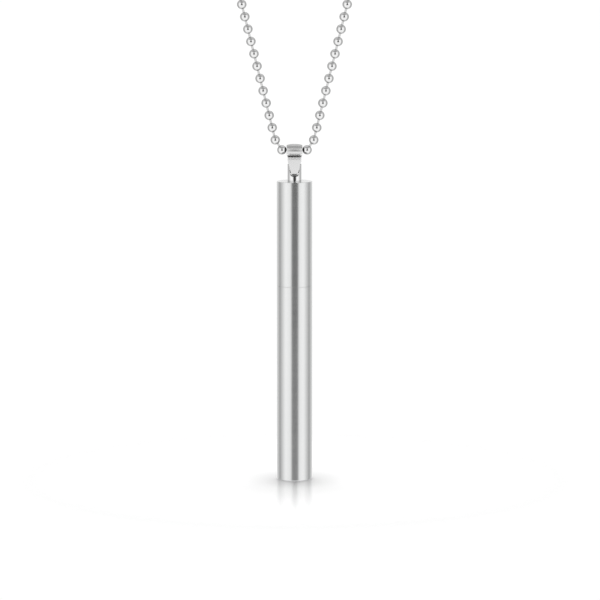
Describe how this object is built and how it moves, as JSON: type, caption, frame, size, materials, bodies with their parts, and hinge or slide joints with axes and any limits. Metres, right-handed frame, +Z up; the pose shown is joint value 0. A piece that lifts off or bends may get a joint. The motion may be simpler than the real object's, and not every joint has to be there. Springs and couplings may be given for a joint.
{
  "type": "case pendant on ball chain",
  "caption": "Slim round steel tube case that unscrews into a cap and a body, hanging by an eye stud and a folded bail from a closed loop of ball chain.",
  "frame": {"origin": "under the clasp at the top of the chain, where it hangs from the back of a neck or from a hook", "axes": "+Z up along the case, +X across the chain's loop to the viewer's right, -Y towards the viewer"},
  "size_m": [0.1104, 0.009, 0.3492],
  "materials": {
    "satin_steel": "satin stainless steel with a fine grain turned round the tube",
    "polished_steel": "polished stainless steel",
    "bail_steel": "softly polished stainless steel strip",
    "bead_steel": "polished stainless steel beads and rods"
  },
  "bodies": {
    "chain": {"bead_chain": "bead_steel", "chain_links": "bead_steel", "chain_clasp": "bead_steel"},
    "bail": {"bail": "bail_steel"},
    "cap": {"case_cap": "satin_steel", "eye_stud": "polished_steel"},
    "case": {"case_body": "satin_steel"}
  },
  "joints": [
    {"name": "bail_swing", "type": "hinge", "parent": "chain", "child": "bail", "pos_m": [0, 0, -0.26168], "axis": [1, 0, 0], "range_deg": [-90, 90]},
    {"name": "case_swing", "type": "hinge", "parent": "bail", "child": "cap", "pos_m": [0, 0, -0.26601], "axis": [1, 0, 0], "range_deg": [-20, 20]},
    {"name": "case_open", "type": "slide", "parent": "cap", "child": "case", "axis": [0, 0, -1], "range_m": [0, 0.012]}
  ]
}
